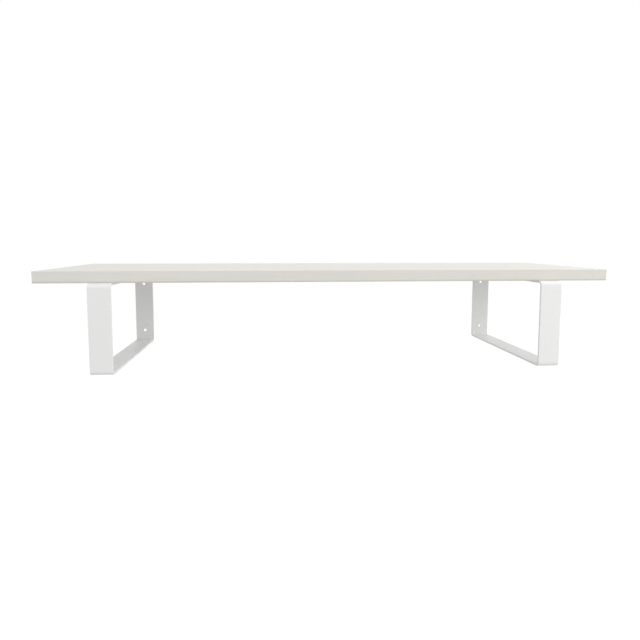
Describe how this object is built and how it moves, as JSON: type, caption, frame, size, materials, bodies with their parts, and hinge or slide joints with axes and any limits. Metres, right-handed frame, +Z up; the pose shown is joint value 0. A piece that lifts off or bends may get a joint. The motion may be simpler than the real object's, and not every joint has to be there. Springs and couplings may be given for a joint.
{
  "type": "wall shelf with brackets",
  "caption": "Wall shelf: a veneered off-white board carried on closed rectangular loop brackets of bent flat steel bar with wall screw holes.",
  "frame": {"origin": "middle of the four wall holes, on the wall plane at the back of the brackets' wall legs", "axes": "+X along the board to the right as seen from the room, +Y into the wall, +Z up"},
  "size_m": [1, 0.31, 0.175],
  "materials": {
    "chipboard": "raw pressed chips",
    "whitewashed_veneer": "matt whitewashed grain",
    "whitewashed_edge_band": "matt whitewashed grain",
    "white_powder_coat": "satin white powder coat",
    "zinc_plated_steel": "bright zinc"
  },
  "bodies": {
    "root": {"board_core": "chipboard", "board_top_face": "whitewashed_veneer", "board_bottom_face": "whitewashed_veneer", "board_front_edge_band": "whitewashed_edge_band", "board_back_edge_band": "whitewashed_edge_band", "board_left_edge_band": "whitewashed_edge_band", "board_right_edge_band": "whitewashed_edge_band", "left_bracket": "white_powder_coat", "right_bracket": "white_powder_coat", "left_front_screw": "zinc_plated_steel", "left_rear_screw": "zinc_plated_steel", "right_front_screw": "zinc_plated_steel", "right_rear_screw": "zinc_plated_steel"}
  },
  "joints": []
}
